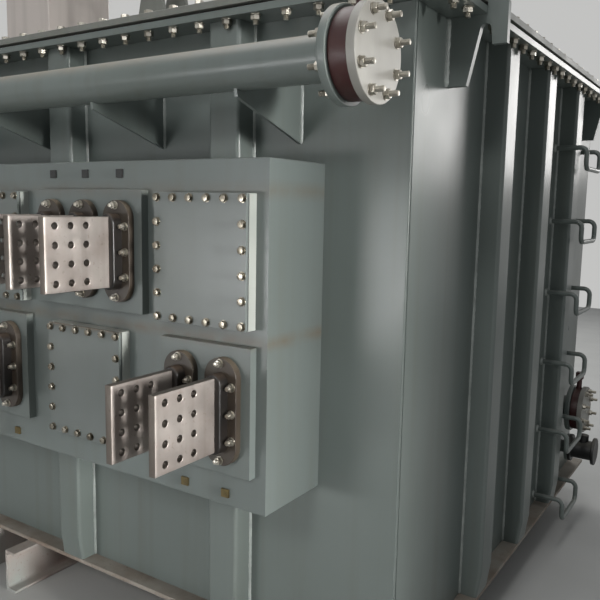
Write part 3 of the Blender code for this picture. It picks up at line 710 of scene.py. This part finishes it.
# Header pipe
pipeLow, pipeHigh = boxOf("header_pipe")
pipe = {
    "radius": 0.054, "flangeRadius": 0.110, "flange": 0.022, "bore": 0.050,
    "ringRadius": 0.100, "boltCircle": 0.090, "bolts": 8, "boltSize": 0.0135, "stick": 0.020,
}
pipeY = float(pipeLow[1] + pipeHigh[1]) / 2
pipeZ = float(pipeLow[2] + pipeHigh[2]) / 2
pipeEnd = float(pipeHigh[0])


# A round piece about an axis along X at y and z: profile pairs are (radius, place along X).
def roundX(profile, y, z, way="right", columns=48, loop=False):
    return turned(loft(circleOutline(columns), profile, loop), way, (0, y, z))


# The pipe's profile: the first flange, a weld, the pipe, a weld and the second flange, then back up the bore.
def pipeProfile():
    end, flange, radius, out = pipeEnd, pipe["flange"], pipe["radius"], pipe["flangeRadius"]
    half = np.array([
        (radius, end - flange - 0.02), (radius, end - flange - 0.008), (radius + 0.005, end - flange - 0.004),
        (radius + 0.007, end - flange), (out - 0.002, end - flange), (out, end - flange + 0.002),
        (out, end - 0.002), (out - 0.002, end), (pipe["bore"], end)])
    return np.concatenate([half[::-1] * (1, -1), half])


makePiece("Header pipe", roundX(pipeProfile(), pipeY, pipeZ, loop=True), "pipe", "header_pipe")

bracket = {
    "margin": 0.307, "count": 6, "thickness": 0.010, "height": 0.090, "toe": 0.016, "turn": 110,
    "weld": 0.006, "clear": 0.0006,
}


# The bracket's outline in Y and Z: a saddle under the pipe, centre + saddle * (cos a, sin a), then the slope.
def bracketOutline():
    steps, turn = 10, math.radians(bracket["turn"])
    saddle = pipe["radius"] + bracket["clear"]
    low = pipeZ - saddle - bracket["toe"]
    angle = np.linspace(-turn, 0, steps + 1)
    arc = saddle * onCircle(angle) + (pipeY, pipeZ)
    rest = np.array([(-halfY, pipeZ), (-halfY, low - bracket["height"]), (pipeY - bracket["toe"], low)])
    return np.concatenate([rest, arc])


bracketAt = spreadAlong(2 * pipeEnd, bracket["margin"], bracket["count"])
outline = bracketOutline()
shapes, welds = [], []
for x in bracketAt:
    ends = (x - bracket["thickness"] / 2, 0, 0), (x + bracket["thickness"] / 2, 0, 0)
    shapes.append(prism(outline, *ends, (0, 1, 0), (0, 0, 1)))
    for side in (-1, 1):
        foot = np.array([x + side * bracket["thickness"] / 2, -halfY, 0])
        ends = foot + (0, 0, outline[1, 1]), foot + (0, 0, pipeZ)
        welds.append(bead(*ends, (side, 0, 0), (0, -1, 0), bracket["weld"]))
makePiece("Pipe brackets", shapes)
makePiece("Bracket welds", welds, "weld")

valve = {
    "edge": 0.003, "stemRadius": 0.012, "stemLow": 0.092, "collarTop": 0.104, "neck": 0.106, "stemTop": 0.150,
    "capLow": 0.147, "capHigh": 0.180, "capEdge": 0.002, "blindEdge": 0.002,
}


# A node's extent along X, as distances from the tank's middle.
def reachOf(node):
    return sorted(abs(float(corner[0])) for corner in boxOf(node))


# A valve about an axis along X: a ring from start to end, and on it a stem with a rounded square cap.
def makeValve(name, way, node, y, z, foot, capHalf):
    start, end = reachOf(node)
    body = plateProfile(start, end, valve["edge"]) + np.array([pipe["ringRadius"], 0])
    centre = (ways[way][2][0] * (start + end) / 2, y, z)
    stem = [(foot, valve["stemLow"]), (foot, valve["collarTop"]), (valve["stemRadius"], valve["neck"]),
            (valve["stemRadius"], valve["stemTop"])]
    cap = plateProfile(valve["capLow"], valve["capHigh"], valve["capEdge"])
    shapes = [roundX(body, y, z, way), moved(loft(circleOutline(20), stem), centre),
              moved(loft(roundOutline(capHalf, 0.003, 3), cap), centre)]
    makePiece(name, shapes, "maroon", node)


# A blind flange about an axis along X, as thick as its node.
def makeBlind(name, way, node, y, z):
    face = plateProfile(*reachOf(node), valve["blindEdge"]) + np.array([pipe["flangeRadius"], 0])
    makePiece(name, roundX(face, y, z, way), "paleGrey", node)


# Studs on a flange's bolt circle, out of a face at a place along the way: point = circle * (cos t, sin t).
def flangeStuds(way, face, y, z):
    t = (np.arange(pipe["bolts"]) + 0.5) * 2 * math.pi / pipe["bolts"]
    spots = np.column_stack([pipe["boltCircle"] * onCircle(t), np.full(len(t), face)])
    return turned(copies(studNut(pipe["boltSize"], pipe["stick"]), spots, t), way, (0, y, z))


for name, side in endSides:
    makeValve("Header valve " + name, name, "header_valve_" + name, pipeY, pipeZ, 0.016, (0.017, 0.017))
    makeBlind("Header blind " + name, name, "header_blind_" + name, pipeY, pipeZ)
    outer = flangeStuds(name, reachOf("header_blind_" + name)[1], pipeY, pipeZ)
    opposite = "left" if side > 0 else "right"
    inner = flangeStuds(opposite, pipe["flange"] - pipeEnd, pipeY, pipeZ)
    makePiece("Header studs " + name, [outer, inner], "zinc")
print("header made")

# Terminal box
box = {"depth": 0.260, "edge": 0.003, "pad": 0.030}
boxFace = -halfY - box["depth"]
makePiece("Terminal box", plate(
    (boxLow[0], boxFace, boxLow[2]), (boxHigh[0], -halfY - tank["gap"], boxHigh[2]), box["edge"]),
    "box", stands="terminal_box")
hatch = {
    "thickness": 0.009, "bolt": 0.012, "bolts": 6, "pitchX": 0.0577, "pitchZ": 0.0638, "edge": 0.0015,
    "gasketEdge": 0.0005,
}
padFace = boxFace - box["pad"]
pads, gaskets, boltSpots = [], [], []
for row, bay in [(row, bay) for row, count in boxRows for bay in bays]:
    low, high = boxOf("hatch_%s_%d" % (row, bay))
    behind, inset = low[1] + hatch["thickness"], hatch["edge"]
    makePiece("Hatch %s %d" % (row, bay), plate(low, (high[0], behind, high[2]), hatch["edge"]),
              "hatch", stands="hatch_%s_%d" % (row, bay))
    x, z = (spreadBy(hatch["bolts"], hatch[pitch]) for pitch in ("pitchX", "pitchZ"))
    gx, gz = np.meshgrid((low[0] + high[0]) / 2 + x, (low[2] + high[2]) / 2 + z)
    edge = np.ones((hatch["bolts"], hatch["bolts"]), bool)
    edge[1:-1, 1:-1] = False
    boltSpots.append(np.column_stack([gx[edge], gz[edge], np.full(edge.sum(), -low[1])]))
    pads.append(plate((low[0], padFace, low[2]), (high[0], boxFace + 0.002, high[2]), hatch["edge"]))
    low, high = low + (inset, 0, inset), high - (inset, 0, inset)
    gaskets.append(plate((low[0], behind, low[2]), (high[0], padFace, high[2]), hatch["gasketEdge"]))
makePiece("Hatch pads", pads, "pad")
makePiece("Hatch gaskets", gaskets, "rubber")
spots = np.concatenate(boltSpots)
bolts = copies(boltHead(hatch["bolt"]), spots, boltTurns(len(spots)))
makePiece("Hatch bolts", turned(bolts, "front"), "oldZinc")

bushing = {
    "width": 0.106, "height": 0.288, "thickness": 0.020, "plate": 0.025, "collarWidth": 0.052,
    "collarHeight": 0.214, "collar": 0.033, "stud": 0.012, "stick": 0.009, "studInset": 0.0145,
    "studPitch": 0.071, "studTurn": 0.7, "edge": 0.002, "seat": 0.010, "collarEdge": 0.006, "seatEdge": 0.001,
    "flagGap": 0.0005,
}
flag = {
    "thickness": 0.022, "height": 0.197, "rows": 4, "columns": 3, "pitch": 0.050, "root": 0.053,
    "tip": 0.0085, "hole": 0.009, "chamfer": 0.0018,
}


# A drilled flag in U (outwards) and V (up). Round each hole lies a cell of 24 columns: its square border is
# half a pitch over the larger of |cos| and |sin|, then come the hole's chamfer and bore.
def flagShape():
    p, t, c = flag["pitch"], flag["thickness"] / 2, flag["chamfer"]
    unit = onCircle(np.arange(24) * math.pi / 12)
    square = unit * (p / 2 / np.abs(unit).max(axis=1))[:, None]
    rim, bore = unit * (flag["hole"] + c), unit * flag["hole"]
    rings = [(square, t), (rim, t), (bore, t - c), (bore, c - t), (rim, -t), (square, -t)]
    cell = np.concatenate([np.column_stack([uv, np.full(24, w)]) for uv, w in rings])
    length = flag["root"] + flag["columns"] * p + flag["tip"]
    u = flag["root"] + (np.arange(flag["columns"]) + 0.5) * p
    v = spreadBy(flag["rows"], p)
    gu, gv = np.meshgrid(u, v)
    places = np.column_stack([gu.ravel(), gv.ravel(), 0 * gu.ravel()])
    cells = copies((cell, ringQuads(len(rings), 24), noTris), places)
    # the root and the tip: plain grids on both faces, with the same marks up their height as the cells have
    marks = np.unique(np.round((v[:, None] + square[:, 1][None]).ravel(), 6))
    n = len(marks)
    idx = np.arange(2 * n).reshape(2, n)
    q = np.stack([idx[:-1, :-1], idx[1:, :-1], idx[1:, 1:], idx[:-1, 1:]], axis=2).reshape(-1, 4)
    faces = []
    for span in ((0, flag["root"]), (length - flag["tip"], length)):
        mu, mv = np.meshgrid(span, marks, indexing="ij")
        for side in (1, -1):
            points = np.column_stack([mu.ravel(), mv.ravel(), np.full(mu.size, side * t)])
            faces.append((points, q[:, ::side], noTris))
    # the border: inset at both faces and full between them, so that its arrises are chamfered
    top = flag["height"] / 2
    along = np.concatenate([[0, flag["root"], length], (u[:, None] + square[:, 0][None]).ravel()])
    along = np.unique(np.round(along, 6))
    marks = np.clip(marks, -top, top)
    loop = np.concatenate([
        np.column_stack([along[:-1], np.full(len(along) - 1, -top)]),
        np.column_stack([np.full(len(marks) - 1, length), marks[:-1]]),
        np.column_stack([along[:0:-1], np.full(len(along) - 1, top)]),
        np.column_stack([np.zeros(len(marks) - 1), marks[:0:-1]])])
    inset = np.clip(loop, (c, c - top), (length - c, top - c))
    border = np.concatenate([np.column_stack([uv, np.full(len(uv), w)]) for uv, w in (
        (inset, t), (loop, t - c), (loop, c - t), (inset, -t))])
    points, quads, tris = joined([cells, *faces])
    points[:, 0] = np.clip(points[:, 0], c, length - c)
    points[:, 1] = np.clip(points[:, 1], c - top, top - c)
    return closeSeams(joined([(points, quads, tris), (border, ringQuads(4, len(loop))[:, ::-1], noTris)]))


# U runs out of the box, V up and the thickness across: X = -w, Y = -u, Z = v.
points, quads, tris = flagShape()
flagSolid = facingOut((points[:, [2, 0, 1]] * (-1, -1, 1), quads, tris))

# The resin collar round the flag's root, its outer edge well rounded, seated in the flange.
halfCollar = np.array([bushing["collarWidth"], bushing["collarHeight"]]) / 2
profile = plateProfile(-bushing["seat"], bushing["collar"], bushing["collarEdge"], 4, bushing["seatEdge"])
collarShape = turned(loft(roundOutline(halfCollar, halfCollar[0], 10), profile), "front")
halfFlange = np.array([bushing["width"], bushing["height"]]) / 2
profile = plateProfile(-bushing["edge"], bushing["thickness"], bushing["edge"])
flangeShape = turned(loft(roundOutline(halfFlange, halfFlange[0], 10), profile), "front")
studX, studZ = halfFlange - bushing["studInset"]
studSpots = [(0, studZ, 0), (0, -studZ, 0)]
studSpots += [(side * studX, i * bushing["studPitch"], 0) for side in (-1, 1) for i in (-1, 0, 1)]
studTurns = np.arange(len(studSpots)) * bushing["studTurn"]
studRing = copies(studNut(bushing["stud"], bushing["stick"]), studSpots, studTurns)
flanges, studs = [], []
back = boxFace - tank["gap"]
face = back - bushing["plate"]
front = face - bushing["thickness"]
spotsOfRow = {"upper": [], "lower": []}
for row, count in boxRows:
    for bay in bays:
        node = "bushing_plate_%s_%d" % (row, bay)
        low, high = boxOf(node)
        makePiece("Bushing plate %s %d" % (row, bay), plate(
            (low[0], face, low[2]), (high[0], back, high[2]), bushing["edge"]), "box", stands=node)
        for i in range(count):
            label = "%s %d %d" % (row, bay, i + 1)
            node = "terminal_" + label.replace(" ", "_")
            x, y, z = sum(boxOf(node)) / 2
            spotsOfRow[row].append(x)
            flanges.append(moved(flangeShape, (x, face, z)))
            studs.append(turned(studRing, "front", (x, front, z)))
            makePiece("Collar " + label, moved(collarShape, (x, front, z)), "resin")
            place = (x, front - bushing["collar"] + bushing["flagGap"], z)
            makePiece("Flag " + label, moved(flagSolid, place), "tinned", node)
makePiece("Bushing flanges", flanges, "flangeBrown")

# A small square block for each bushing: dark ones over the upper row, brass ones under the lower row.
# Each row is (name, shift from the bushing, height, finish).
tag = {"half": 0.012, "thickness": 0.006, "edge": 0.001}
tagRows = (("upper", -0.026, 1.5625, "black"), ("lower", -0.015, 0.7085, "brass"))
low, high = (-tag["half"], -tag["thickness"], -tag["half"]), (tag["half"], tag["edge"], tag["half"])
block = plate(low, high, tag["edge"])
for row, shift, z, finish in tagRows:
    makePiece("Box tags " + row, [moved(block, (x + shift, boxFace, z)) for x in spotsOfRow[row]], finish)
makePiece("Bushing studs", studs, "zinc")
print("terminal box made")

# Hooks and step irons
hook = {
    "place": 0.839, "thickness": 0.020, "leg": 0.1815, "foot": 0.058, "throatIn": 0.090, "throat": 0.031,
    "throatDrop": 0.0245, "tooth": 0.043, "toothDrop": 0.0795, "rise": 0.0385, "corner": 0.018, "weld": 0.009,
}


# The hook's outline in U (out of the wall) and Z. Its throat is half a circle open below.
def hookOutline():
    z0, r = tank["top"], hook["throat"] / 2
    rimEdge = float(rimHalf[0]) - halfX + tank["gap"]
    out = hook["throatIn"] + hook["throat"]
    arc = r * onCircle(np.linspace(math.pi, 0, 13)) + (hook["throatIn"] + r, z0 - hook["throatDrop"] - r)
    end, high, c = out + hook["tooth"], z0 + hook["rise"], hook["corner"]
    crown = c * onCircle(np.linspace(0, math.pi / 2, 6)) + (end - c, high - c)
    tail = [(rimEdge, high), (rimEdge, z0 - tank["gap"]), (0.0, z0 - tank["gap"])]
    start = [(0.0, z0 - hook["leg"]), (hook["foot"], z0 - hook["leg"])]
    tooth = [(out + r / 4, z0 - hook["toothDrop"]), (end, z0 - hook["toothDrop"])]
    return np.concatenate([start, arc, tooth, crown, tail])


outline = hookOutline()
for name, side in endSides:
    shapes, welds = [], []
    for y in (-hook["place"], hook["place"]):
        half = hook["thickness"] / 2
        ends = (side * halfX, y - half, 0), (side * halfX, y + half, 0)
        shapes.append(prism(outline, *ends, (side, 0, 0), (0, 0, 1)))
        for across in (-1, 1):
            foot = np.array([side * halfX, y + across * half, 0])
            ends = foot + (0, 0, tank["top"] - hook["leg"]), foot + (0, 0, wallTop)
            welds.append(bead(*ends, (0, across, 0), (side, 0, 0), hook["weld"]))
    makePiece("Hooks " + name, shapes)
    makePiece("Hook welds " + name, welds, "weld")

rung = {
    "first": 0.220, "pitch": 0.304, "count": 6, "radius": 0.010, "clear": 0.045, "side": 0.075, "drop": 0.085,
    "offset": 0.035, "bend": 0.026,
}
near = endRibs[-1] + rung["offset"] - rib["width"] / 2 - rung["side"]
far = near + rib["width"] + 2 * rung["side"]
out = halfX + rib["depth"] + rung["clear"] + rung["radius"]
drop = rung["drop"]
corners = [(halfX - 0.002, near, 0), (out, near, 0), (out, near, -drop), (out, far, -drop), (out, far, 0),
           (halfX - 0.002, far, 0)]
iron = bar(bentPath(corners, rung["bend"]), rung["radius"])
weld = [(0.0175, 0.0), (0.0165, 0.003), (0.0125, 0.006), (0.0098, 0.0075)]
weld = turned(loft(circleOutline(16), weld), "right")
heights = rung["first"] + np.arange(rung["count"]) * rung["pitch"]
shapes = [moved(iron, (0, 0, z)) for z in heights]
welds = [moved(weld, (halfX, y, z)) for z in heights for y in (near, far)]
makePiece("Step irons", shapes)
makePiece("Step iron welds", welds, "weld")

# Bottom valve and drain valve
bottomStub = {"radius": 0.054, "weld": 0.008, "weldReach": 0.009, "flangeRadius": 0.110, "flange": 0.022}
drainStub = {"radius": 0.030, "weld": 0.006, "weldReach": 0.007, "flangeRadius": 0.065, "flange": 0.014}


# A short pipe from the end wall to a flange just short of a face: a ring of weld, the pipe and the flange.
def makeStub(name, stub, face, y, z):
    radius, out, edge = stub["radius"], stub["flangeRadius"], 0.002
    face -= tank["gap"]
    back = face - stub["flange"]
    profile = [
        (radius, halfX - edge), (radius + stub["weld"], halfX), (radius, halfX + stub["weldReach"]),
        (radius, back), (out - edge, back), (out, back + edge), (out, face - edge), (out - edge, face)]
    makePiece(name, roundX(profile, y, z))


y = sum(boxOf("bottom_valve"))[1] / 2
z = sum(boxOf("bottom_blind"))[2] / 2
makeStub("Bottom stub", bottomStub, reachOf("bottom_valve")[0], y, z)
makeValve("Bottom valve", "right", "bottom_valve", y, z, 0.014, (0.0165, 0.017))
makeBlind("Bottom blind", "right", "bottom_blind", y, z)
makePiece("Bottom studs", flangeStuds("right", reachOf("bottom_blind")[1], y, z), "zinc")

drain = {"radius": 0.046, "neck": 0.025, "neckLow": 0.030, "edge": 0.002}
low, high = boxOf("drain_valve")
out, flange, radius, edge = drainStub["flangeRadius"], drainStub["flange"], drain["radius"], drain["edge"]
x, y, z = (low[0] + high[0]) / 2, (low[1] + high[1]) / 2, low[2] + out
flangeLine = np.array([(out - edge, 0), (out, edge), (out, flange - edge), (out - edge, flange),
                       (radius + edge, flange), (radius, flange + 2 * edge)])
body = np.concatenate([flangeLine + (0, low[0]), flangeLine[::-1] * (1, -1) + (0, high[0])])
neckTop = high[2] - z
neck = [(drain["neck"], drain["neckLow"]), (drain["neck"], neckTop - edge), (drain["neck"] - edge, neckTop)]
neck = moved(loft(circleOutline(24), neck), (x, y, z))
makePiece("Drain valve", [roundX(body, y, z), neck], "black", "drain_valve")
makeStub("Drain stub", drainStub, low[0], y, z)

# On the cover
low, high = boxOf("cover_box")
coverBox = {
    "rim": np.array([0.014, 0.014, 0]), "rimHeight": 0.030, "rimEdge": 0.002, "edge": 0.004, "corner": 0.006,
}
body = plate(low + coverBox["rim"], high - coverBox["rim"], coverBox["edge"], coverBox["corner"], 4)
foot = plate(low, (high[0], high[1], low[2] + coverBox["rimHeight"]), coverBox["rimEdge"])
makePiece("Cover box", [body, foot], "panel", "cover_box")
leg = {
    "foot": 0.080, "head": 0.030, "height": 0.220, "thickness": 0.012, "place": 0.590, "setback": 0.140,
    "depth": 0.120,
}
x, y, top, thickness = leg["place"], leg["setback"] - halfY, coverTop + leg["height"], leg["thickness"]
outline = [(x - leg["foot"], coverTop - 0.001), (x + leg["foot"], coverTop - 0.001), (x + leg["head"], top),
           (x - leg["head"], top)]
shapes = [carry(outline, [(0, near, 0), (0, near + thickness, 0)], (1, 0, 0), (0, 0, 1))
          for near in (y, y + leg["depth"])]
shapes.append(plate(
    (x - leg["head"], y, top - thickness), (x + leg["head"], y + leg["depth"] + thickness, top), 0.001))
makePiece("Cover leg", shapes, "cover")
print("cover pieces made")

# Floor, light and camera
scene = bpy.context.scene
floorMesh = bpy.data.meshes.new("Floor")
floorMesh.from_pydata([(-9, -9, 0), (9, -9, 0), (9, 9, 0), (-9, 9, 0)], [], [(0, 1, 2, 3)])
floor = bpy.data.objects.new("Floor", floorMesh)
floor.location.z = -0.0005
scene.collection.objects.link(floor)
floorMesh.materials.append(makeFinish(
    "Floor", base=(196, 196, 193), other=(188, 188, 185), streak=0.0, dust=0.0, rough=(0.6, 0.8), wave=0.0,
    peel=0.05))


# A rectangular lamp at a place, looking at a target.
def areaLamp(name, place, target, size, power, tint=(1, 1, 1), spread=180):
    data = bpy.data.lights.new(name, "AREA")
    data.shape = "RECTANGLE"
    data.size, data.size_y = size
    data.energy = power
    data.color = tint
    data.spread = math.radians(spread)
    lamp = bpy.data.objects.new(name, data)
    lamp.location = Vector(place)
    lamp.rotation_euler = (Vector(target) - Vector(place)).to_track_quat("-Z", "Y").to_euler()
    scene.collection.objects.link(lamp)


areaLamp("Key", (1.8, -6.9, 4.9), (0.5, -1.0, 1.2), (1.4, 1.4), 118)
areaLamp("Fill", (-2.0, -7.0, 0.7), (1.2, -1.0, 0.1), (2.4, 0.9), 13, (1, 1, 1), 50)
areaLamp("Side", (6.4, -1.72, 1.35), (1.0, -1.46, 0.95), (0.5, 2.0), 15, (1.0, 0.99, 0.97), 22)
areaLamp("Window", (2.76, 2.9, 2.3), (1.6, -0.7, 1.8), (1.2, 1.1), 0.8, (1.0, 0.98, 0.96), 30)
areaLamp("Over", (0.0, 0.0, 6.0), (0.0, 0.0, 0.0), (5.0, 4.0), 160)
areaLamp("Back", (-3.0, 6.0, 3.5), (0.0, 0.0, 1.0), (3.0, 2.0), 200)

world = bpy.data.worlds.new("Studio")
scene.world = world
world.use_nodes = True
tree = world.node_tree
tree.nodes.clear()
path = addNode(tree, "LightPath")
seen = reckoned(tree, "MAXIMUM", path.outputs["Is Camera Ray"], path.outputs["Is Transmission Ray"])
seen = reckoned(tree, "MAXIMUM", seen, path.outputs["Is Glossy Ray"])
light = addNode(tree, "Background", None, Color=(0.80, 0.84, 0.88, 1.0), Strength=0.22)
seenSky = addNode(tree, "Background", None, Color=(0.60, 0.60, 0.59, 1.0), Strength=0.9)
both = addNode(tree, "MixShader", None, i0=seen, i1=light.outputs[0], i2=seenSky.outputs[0])
addNode(tree, "OutputWorld", None, Surface=both.outputs[0])

camera = {"place": (2.411, -2.737, 1.48), "yaw": 33.19, "pitch": 7.58, "roll": -1.08, "lens": 42.41}


# The view's axes: forward from yaw and pitch, then right and down turned by the roll.
def cameraMatrix():
    yaw, pitch, roll = (math.radians(camera[k]) for k in ("yaw", "pitch", "roll"))
    forward = np.array([-math.sin(yaw) * math.cos(pitch), math.cos(yaw) * math.cos(pitch), -math.sin(pitch)])
    level = np.array([math.cos(yaw), math.sin(yaw), 0.0])
    down = np.cross(forward, level)
    right = math.cos(roll) * level + math.sin(roll) * down
    below = -math.sin(roll) * level + math.cos(roll) * down
    matrix = np.eye(4)
    matrix[:3, 0], matrix[:3, 1], matrix[:3, 2] = right, -below, -forward
    matrix[:3, 3] = np.array(camera["place"]) + middle
    return Matrix(matrix.tolist())


view = bpy.data.cameras.new("Camera")
view.lens, view.sensor_width, view.clip_end = camera["lens"], 36.0, 100.0
viewer = bpy.data.objects.new("Camera", view)
viewer.matrix_world = cameraMatrix()
scene.collection.objects.link(viewer)
scene.camera = viewer
scene.view_settings.view_transform = "Standard"

print("scene made")
